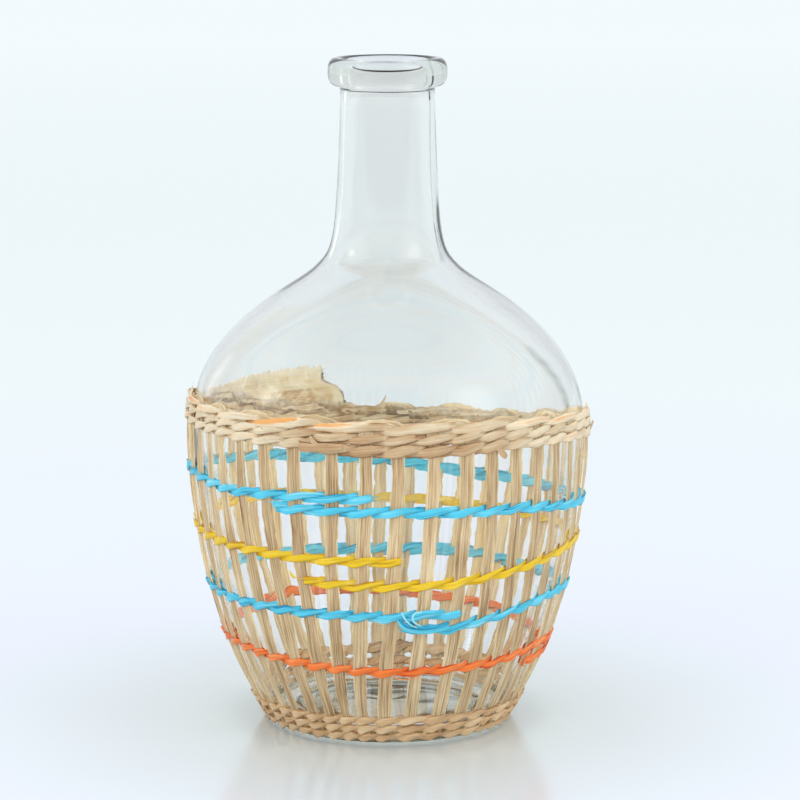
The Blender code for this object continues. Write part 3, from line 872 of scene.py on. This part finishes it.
def make_leaf_end(finish):
    piece = SleevePiece("torn_leaf_end")
    across = np.linspace(0, 1, 150)
    angle = FLAP_START + (FLAP_END - FLAP_START) * across
    places, heights = zip(*FLAP_TOP)
    edge_heights, edge_places = zip(*FLAP_EDGE)
    low = up_along(round_route(RIM_ROUTE, angle), RIM_TOP - 0.0012)
    torn = 0.0006 * wander(angle, 41, 0.30) + 0.0005 * wander(angle, 42, 1.1)
    high = np.interp(angle, places, heights) + torn
    share = np.linspace(0, 1, 26)
    height = low[:, None] + (high - low)[:, None] * share[None]
    edge = np.interp(height, edge_heights, edge_places)
    lean = edge + (FLAP_END - edge) * across[:, None]
    lean = lean + 0.5 * wander(height, 43, 420) * np.exp(-across[:, None] * 30)
    crumple = crumpled(angle[:, None], height, 48)
    front = 0.00130 + 0.0005 * crumple + 0.0002 * np.sin(angle[:, None] * 0.8)
    thin = FLAP_THICKNESS * 0.55 * (1 - 0.7 * share[None] ** 6)
    patch = within(angle, 206, 220, 0.8)[:, None] * np.clip((0.1390 - height) / 0.0004, 0, 1)
    patch = patch * np.clip(1.2 + wander(angle[:, None] + height * 900, 44, 0.5), 0, 1)
    # Painted light and shade: the tone is lighter on the crumples' crests and darker in their folds, and a
    # painted highlight makes the end at FLAP_START much paler. The top edge is paler too.
    tone = 0.66 + 0.12 * crumple + 0.08 * wander(angle[:, None] / 12 + height * 60, 45, 1.0) - 0.30 * patch
    tone = tone + 0.3 * np.exp(-across[:, None] * 40) + 0.2 * share[None] ** 12
    leaf_sheet(piece, lean, height, front, thin / 2, 0.0003, np.radians(angle - FLAP_START) * FLAP_RADIUS,
               tone, 5)
    chance = np.random.default_rng(46)
    for strand in range(46):
        if strand < 26:
            level = chance.uniform(0.1345, 0.1485)
            where = float(np.interp(level, edge_heights, edge_places)) + 0.4
            tip_angle = where - chance.uniform(0.6, 3.4 if level > 0.1415 else 1.6)
            tip_level = level + chance.uniform(-0.0010, 0.0018)
        else:
            where = chance.uniform(204, 250)
            level = float(np.interp(where, places, heights)) - 0.0004
            tip_angle = where + chance.uniform(-1.4, 0.8)
            tip_level = level + chance.uniform(0.0006, 0.0018)
        begin = on_glass(where, level, 0.0012)[0]
        tip = on_glass(tip_angle, tip_level, chance.uniform(0.0008, 0.0022))[0]
        fibre(piece, begin, tip, 0 * tip, chance.uniform(0.0004, 0.0009), 0.8, strand)
    piece.done(finish, "leaf_end", "leaf_flap")


def make_rear_scraps(finish):
    piece = SleevePiece("rear_leaf_scraps")
    chance = np.random.default_rng(61)
    for scrap, middle in enumerate(np.arange(104, 262, 7.4)):
        middle = middle + chance.uniform(-1.5, 1.5)
        half = chance.uniform(4.0, 6.5)
        across = np.linspace(-1, 1, 34)
        angle = middle + half * across
        rim = round_route(RIM_ROUTE, angle)
        foot = rim - chance.uniform(0.0015, 0.0045)
        rise = chance.uniform(0.0036, 0.0062) * np.clip(1 - np.abs(across) ** 2.6, 0.02, 1)
        rise = rise * (1 + 0.14 * wander(angle, 620 + scrap, 0.45))
        rise = rise + 0.00025 * wander(angle, 640 + scrap, 1.6)
        share = np.linspace(0, 1, 12)
        height = foot[:, None] + rise[:, None] * share[None]
        slant = angle[:, None] + chance.uniform(-2.5, 2.5) * share[None] ** 2
        crumple = crumpled(slant, height, 70 + scrap)
        lift = 0.0010 + 0.0005 * crumple + chance.uniform(-0.0002, 0.0004)
        # Painted light and shade: the tone is lighter on the crumples' crests and darker in their folds, and
        # painted shade darkens the foot where it goes under the rim. It is paler towards the top edge.
        tone = 0.40 + chance.uniform(-0.16, 0.14) + 0.14 * crumple
        tone = tone + 0.34 * share[None] ** 8 - 0.22 * (1 - share[None]) ** 3
        leaf_sheet(piece, slant, height, lift, SCRAP_THICKNESS / 2, 0.0002,
                   np.radians(angle) * SCRAP_RADIUS, tone, scrap * 1.9)
    piece.done(finish, "grass_band")


dry_leaf = fibrous_finish(
    "dry_leaf",
    ((0.0, (126, 100, 72)), (0.3, (190, 164, 130)), (0.55, (222, 205, 178)), (0.8, (234, 222, 200)),
     (1.0, (240, 226, 190))),
    1300, 300, 0.00034, (0.5, 0.8), streak=0.34, specks=0.3)
make_leaf_end(dry_leaf)
make_rear_scraps(dry_leaf)


# Loose ends. Where a strand of leaf or raffia was begun or finished, its end was tucked in by hand. A few
# stick out: a fold and a hanging tip at the rim, small tufts, the blue end and an orange thread.
def smooth_through(stops, count):
    stops = np.array(stops, float)
    marks = np.linspace(0, len(stops) - 1, count)
    low = np.clip(marks.astype(int), 0, len(stops) - 2)
    share = (marks - low)[:, None]
    before, here, after, beyond = (stops[np.clip(low + step, 0, len(stops) - 1)] for step in (-1, 0, 1, 2))
    return 0.5 * (2 * here + (after - before) * share + (2 * before - 5 * here + 4 * after - beyond)
                  * share ** 2 + (3 * here - before - 3 * after + beyond) * share ** 3)


def loose_end(name, made_of, thickness, tone, splits, stops):
    """A strip with split tips, along stops of angle, height, lift and width in degrees and millimetres."""
    route = smooth_through(stops, 10 * len(stops))
    points, off = on_glass(route[:, 0], route[:, 1] / 1000, route[:, 2] / 1000)[:2]
    across, face = frame_along(points, off)
    around = np.linspace(0, 2 * math.pi, 14, endpoint=False)
    along = path_length(points)
    seed = sum(ord(letter) for letter in name)
    fold = 1 - 0.22 * np.abs(np.sin(1.5 * around[None] + 90 * along[:, None] + seed)) ** 0.6
    wide = route[:, 3][:, None] / 1000 * (1 + 0.08 * wander(along, seed, 180))[:, None]
    wide_reach = np.cos(around)[None] * wide / 2 * fold
    thick_reach = np.sin(around)[None] * np.minimum(thickness / 1000, 0.5 * wide) / 2 * fold
    rings = sections(points, across, wide_reach, face, thick_reach)
    piece = SleevePiece(name)
    # Painted shade: the tone is darkened in the creases.
    piece.loft(rings, along, wide_reach, tone - 0.3 * (1 - fold), seed % 89)
    chance = np.random.default_rng(seed)
    for split in range(splits):
        way = unit(points[-1] - points[-4])
        begin = points[-1] - way * 0.001 + across[-1] * chance.uniform(-0.4, 0.4) * wide[-1]
        tip = begin + way * chance.uniform(0.002, 0.005) + across[-1] * chance.uniform(-0.0012, 0.0012)
        fibre(piece, begin, tip, off[-1] * 0.0002, 0.0006, tone, split)
    piece.done(*made_of)


GRASS = (rim_leaf, "grass_band")
BLUE = (blue_raffia, "raffia_blue")
# For each end its name, what it is made of, its thickness in millimetres, tone, split tips and stops.
LOOSE_ENDS = (
    ("rim_tuck", GRASS, 0.6, 0.42, 0,
     ((-21.3, 143.6, 3, 1.8), (-20.4, 142.5, 4.2, 2.4), (-19.2, 140.9, 4.6, 2.4), (-18.2, 139.7, 4.2, 2.2))),
    ("rim_tuck_fold", GRASS, 0.7, 0.30, 0,
     ((-24.6, 142, 3, 1.4), (-23.2, 141.6, 3.9, 3), (-21.2, 141.3, 4.2, 3.4), (-20, 141, 3.9, 2.2))),
    ("third_row_end", GRASS, 1.5, 0.36, 0,
     ((-12, 139.9, 3.8, 3.2), (-17, 139.6, 4.6, 4.6), (-22.5, 139.3, 4.6, 4.4), (-24, 139.2, 4.4, 3.6))),
    ("hanging_leaf_tip", GRASS, 0.8, 0.34, 0,
     ((31.6, 137.6, 2.8, 2.6), (32.6, 135.9, 3.5, 3.7), (33.5, 134.4, 3.6, 3.3), (34.1, 133.4, 3.4, 1.9))),
    ("side_leaf_tip", GRASS, 0.9, 0.3, 0,
     ((80, 134.8, 2.6, 2.4), (83, 135.3, 3.4, 2.8), (86, 136.2, 4.2, 2.2), (87.5, 137.0, 4.5, 1.0))),
    ("left_tuft", GRASS, 1.0, 0.72, 0,
     ((-79, 149.0, 2.0, 3.0), (-79.6, 150.2, 2.8, 3.9), (-80.2, 151.4, 2.9, 4.0), (-80.6, 152.2, 2.8, 3.8))),
    ("back_rim_spike", GRASS, 0.7, 0.6, 0,
     ((182, 129.2, 2.4, 1.6), (181, 131.8, 2.6, 1.2), (180.4, 134.2, 2.8, 0.5))),
    ("blue_end_loop", BLUE, 0.9, 0.42, 0,
     ((3.3, 63.8, 3.4, 2.0), (5.1, 61.3, 4.6, 3.4), (7.5, 60.0, 4.9, 4.0), (11.2, 59.4, 5.0, 4.0),
      (15.2, 59.8, 4.9, 3.8), (18.9, 60.8, 4.7, 3.4))),
    ("blue_end_thread", BLUE, 0.6, 1.0, 0,
     ((4.3, 68.1, 4.8, 0.7), (4.9, 66.2, 5.6, 0.9), (5.8, 64.4, 5.9, 0.9), (7.1, 62.5, 5.8, 0.9),
      (8.9, 61.0, 5.4, 0.7))),
    ("blue_end_tuft", BLUE, 0.6, 1.0, 0,
     ((10.1, 68.0, 4.9, 0.9), (8.1, 67.7, 5.6, 1.0), (7.4, 66.2, 6.0, 1.0), (7.9, 63.8, 6.0, 1.0),
      (10.1, 61.6, 5.5, 0.8))),
    ("yellow_start_tuft", (yellow_raffia, "raffia_yellow"), 0.8, 0.5, 2,
     ((-28.0, 80.4, 2.4, 1.6), (-28.7, 81.6, 2.8, 1.9), (-29.3, 82.8, 2.6, 1.3))),
    ("loose_orange_thread", (orange_raffia, "raffia_orange"), 0.4, 0.5, 0,
     ((1.5, 36.9, 3.0, 0.5), (4, 36.4, 4.6, 0.5), (7, 36.2, 4.8, 0.45), (10.5, 36.8, 3.8, 0.4))),
)
for loose in LOOSE_ENDS:
    loose_end(*loose)


# The studio. A pale smooth sheet lies under the bottle and runs far out behind it. Three soft lamps stand in
# front, one hangs above, and a faint one in the bottle lifts the shadows. None of this belongs to the vase.
# Painted reflection: a dark room in front, shown only after a gloss, on the far floor in front and in the
# air; it lights nothing.
PAINTED_DARK_REFLECTION = (0.115, 0.095, 0.070, 1)
FLOOR_SIDES = 64
FLOOR_REACHES = np.geomspace(0.1, 14.0, 24)


def first_sight(net, path):
    """1 for what is seen straight, through the glass or in a gloss, and 0 for the light that others get."""
    total = path.outputs["Is Camera Ray"]
    for ray in ("Is Glossy Ray", "Is Transmission Ray"):
        total = net.combined("MAXIMUM", total, path.outputs[ray])
    return total


def where_mirrored(net, path, share):
    return net.combined("MULTIPLY", share, net.combined("MINIMUM", path.outputs["Glossy Depth"], 1.0))


def pale_sheet():
    finish, net = new_finish("pale_sheet")
    net.tree.nodes.remove(net.tree.nodes["Principled BSDF"])
    place = net.add("TexCoord", {}).outputs["Object"]
    path = net.add("LightPath", {})
    distance = net.add("VectorMath", {0: place}, "LENGTH").outputs["Value"]
    # Painted shadow: the sheet's glow is dark near the vase and grows brighter further out.
    painted_glow = net.ramp(net.moved(distance, 0.0, 5.0), (
        (0.0, (0.055, 0.068, 0.060)), (0.016, (0.074, 0.116, 0.130)), (0.045, (0.178, 0.198, 0.290)),
        (0.19, (0.217, 0.257, 0.269)), (1.0, (0.300, 0.335, 0.345))))
    shown = net.add("Emission", {"Color": painted_glow, "Strength": first_sight(net, path)})
    matt = net.add("BsdfDiffuse", {"Color": (0.56, 0.585, 0.585, 1)})
    sheen = net.add("BsdfGlossy", {"Color": (0.9, 0.9, 0.9, 1), "Roughness": 0.19})
    layer = net.add("MixShader", {0: 0.34, 1: matt, 2: sheen})
    both = net.add("AddShader", {0: layer, 1: shown})
    far_in_front = net.moved(net.add("SeparateXYZ", {0: place}).outputs["Y"], -0.45, -0.80)
    painted_dark_reflection_shader = net.add("Emission", {"Color": PAINTED_DARK_REFLECTION})
    either = net.add("MixShader", {0: where_mirrored(net, path, far_in_front), 1: both, 2: painted_dark_reflection_shader})
    net.fill_named("Material Output", {"Surface": either})
    return finish


floor_points = [(0.0, 0.0, 0.0)]
for reach in FLOOR_REACHES:
    for turn in np.linspace(0, 2 * math.pi, FLOOR_SIDES, endpoint=False):
        floor_points.append((reach * math.cos(turn), reach * math.sin(turn), 0.0))
floor_mesh = bpy.data.meshes.new("studio_floor")
floor_mesh.from_pydata(floor_points, [], turned_faces(len(FLOOR_REACHES), FLOOR_SIDES, False))
floor_mesh.materials.append(pale_sheet())
put_in_scene("studio_floor", floor_mesh)

world = bpy.data.worlds.new("studio_air")
bpy.context.scene.world = world
air = ShaderNet(world)
direction = air.add("TexCoord", {}).outputs["Generated"]
parts = air.add("SeparateXYZ", {0: direction})
path = air.add("LightPath", {})
# Painted reflections: the air seen straight, in a gloss or through the glass darkens towards the top and,
# after a gloss, in front, while the light on the pieces comes from plain_air.
sky = air.ramp(parts.outputs["Z"], (
    (0.05, (0.836, 0.880, 0.915)), (0.75, (0.825, 0.862, 0.880)), (0.93, (0.32, 0.35, 0.37))))
front_side = air.moved(parts.outputs["Y"], 0.25, -0.35, smooth=True)
bright = air.mixed_colour(where_mirrored(air, path, front_side), sky, PAINTED_DARK_REFLECTION)


def painted_highlight_in_air(full, around, above, wide, strength, colour_before):
    """A soft round painted highlight added to the colour of the air that is seen straight, in a gloss or
    through the glass; with a strength below 0 it paints a dark reflection instead.

    around and above are its direction in degrees, and it falls from full within one angle to none at wide.
    """
    turn, rise = math.radians(around), math.radians(above)
    toward = (math.sin(turn) * math.cos(rise), -math.cos(turn) * math.cos(rise), math.sin(rise))
    near = air.add("VectorMath", {0: direction, 1: toward}, "DOT_PRODUCT").outputs["Value"]
    edge, core = math.cos(math.radians(wide)), math.cos(math.radians(full))
    patch = air.moved(near, edge, core, 0.0, strength, smooth=True)
    return air.add("VectorMath", {0: colour_before, 1: patch}, "ADD")


# Painted highlights in the glass, lighting nothing: the soft lamps' reflections, white streaks at the back
# left, and, with a strength below 0, a painted dark streak at the back right.
painted_highlights = [(1, -82, 27, 9, 1.7), (6, -70, 28, 28, 0.7), (3, 59, 29, 18, 0.9), (8, 55, 30, 34, 0.5)]
painted_highlights += [(1, -139, above, 7, 0.35) for above in (0, 7, 14)]
painted_highlights += [(2, 133.5, above, 5.5, -0.8) for above in (-4, 3, 10, 17, 24)]
for painted_glow in painted_highlights:
    bright = painted_highlight_in_air(*painted_glow, bright)
shown_air = air.add("Background", {"Color": bright})
plain_air = air.fill_named("Background", {"Color": (0.97, 0.985, 1.0, 1), "Strength": 0.95})
not_lit_yet = air.combined("LESS_THAN", path.outputs["Diffuse Depth"], 0.5)
seen_first = air.combined("MULTIPLY", first_sight(air, path), not_lit_yet)
either_air = air.add("MixShader", {0: seen_first, 1: plain_air, 2: shown_air})
air.fill_named("World Output", {"Surface": either_air})


def hang_lamp(lamp, place):
    """Put a lamp that gives light but isn't seen in a gloss or through the glass."""
    hung = put_in_scene(lamp.name, lamp)
    hung.location = place
    hung.visible_glossy = False
    hung.visible_transmission = False
    return hung


def soft_lamp(name, place, aim, width, height, power):
    lamp = bpy.data.lights.new(name, "AREA")
    lamp.shape = "RECTANGLE"
    lamp.size = width
    lamp.size_y = height
    lamp.energy = power
    toward = Vector(aim) - Vector(place)
    hang_lamp(lamp, place).rotation_euler = toward.to_track_quat("-Z", "Y").to_euler()


soft_lamp("left_lamp", (-1.2, -1.1, 0.75), (0, 0, 0.13), 0.8, 1.0, 6.1)
soft_lamp("right_lamp", (1.3, -0.8, 0.75), (0, 0, 0.13), 0.8, 1.0, 5.6)
soft_lamp("front_lamp", (0.0, -1.5, 0.9), (0, 0, 0.10), 1.2, 0.8, 2.0)
soft_lamp("top_lamp", (0.0, 0.35, 1.7), (0, 0, 0.1), 1.2, 1.2, 3.5)

inner_light = bpy.data.lights.new("inner_lamp", "POINT")
inner_light.energy = 0.31
inner_light.color = (1.0, 0.93, 0.82)
inner_light.shadow_soft_size = 0.03
hang_lamp(inner_light, (0, 0, 0.10)).visible_camera = False

camera_data = bpy.data.cameras.new("camera")
camera_data.sensor_width = 36.0
camera_data.lens = 151.8
camera_data.clip_start = 0.05
camera_data.clip_end = 60.0
camera = put_in_scene("camera", camera_data)
camera.location = (0.00557, -1.5034, 0.3972)
camera.rotation_euler = (math.radians(80.5), 0, 0)
bpy.context.scene.camera = camera
bpy.context.scene.view_settings.view_transform = "Standard"
